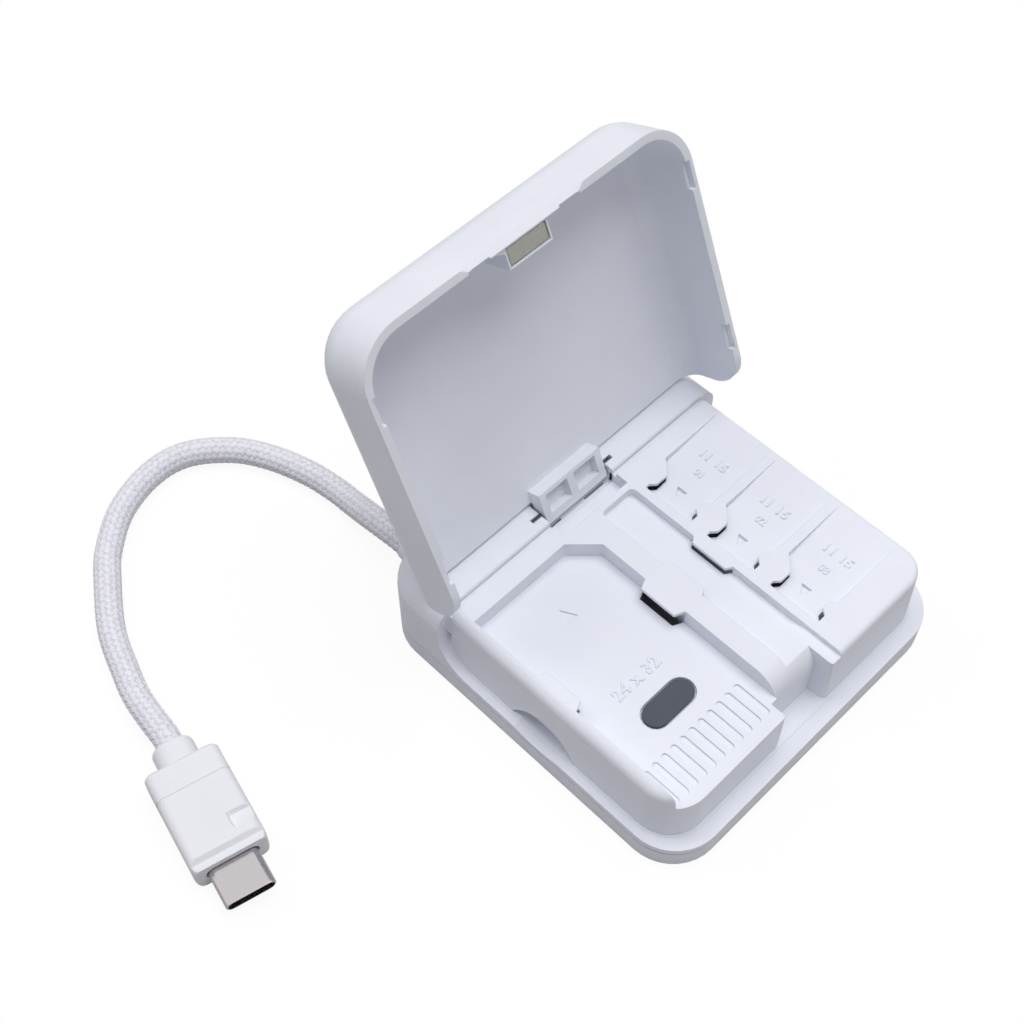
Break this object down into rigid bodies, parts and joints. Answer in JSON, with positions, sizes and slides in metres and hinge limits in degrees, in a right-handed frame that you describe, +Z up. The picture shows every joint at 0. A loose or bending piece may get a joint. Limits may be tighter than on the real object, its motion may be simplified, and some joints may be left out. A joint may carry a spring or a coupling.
{
  "type": "card reader storage box",
  "caption": "Small square storage box for memory cards with a hinged, rounded lid, clip pockets in a tray, and a captive braided cable with a plug",
  "frame": {"origin": "middle of the square footprint, on the flat underside that the box rests on", "axes": "+Z up, +X to the right along the hinge axis, +Y to the rear, where the hinge beam and the cable gland are"},
  "size_m": [0.1165, 0.117, 0.0697],
  "materials": {
    "cover_plastic": "satin moulded white",
    "white_plastic": "satin moulded white",
    "tray_plastic": "satin moulded white",
    "lid_plastic": "satin moulded white",
    "grey_rubber": "soft dark grey",
    "nickel": "satin nickel plate",
    "steel": "plain steel",
    "board_green": "board with solder mask",
    "black_plastic": "black moulded",
    "braided_sleeve": "fine braided sleeve, off white",
    "plug_plastic": "satin moulded white"
  },
  "bodies": {
    "base": {"bottom_cover": "cover_plastic", "base_housing": "white_plastic", "card_tray": "tray_plastic", "grip_pad": "grey_rubber", "catch_magnet": "nickel", "circuit_board": "board_green", "controller_chip": "black_plastic", "card_socket": "steel", "cable_gland": "white_plastic", "cable": "braided_sleeve", "plug_boot": "plug_plastic", "plug_rear_cap": "plug_plastic", "plug_body": "plug_plastic", "usb_shell": "nickel", "usb_tongue": "black_plastic", "cover_screw_1": "steel", "cover_screw_2": "steel", "cover_screw_3": "steel", "cover_screw_4": "steel"},
    "lid": {"lid_shell": "lid_plastic", "hinge_pin_left": "steel", "hinge_pin_right": "steel", "lid_magnet": "nickel"}
  },
  "joints": [
    {"name": "lid_hinge", "type": "hinge", "parent": "base", "child": "lid", "pos_m": [0, 0.0209, 0.0163], "axis": [1, 0, 0], "range_deg": [0, 113.6]}
  ]
}
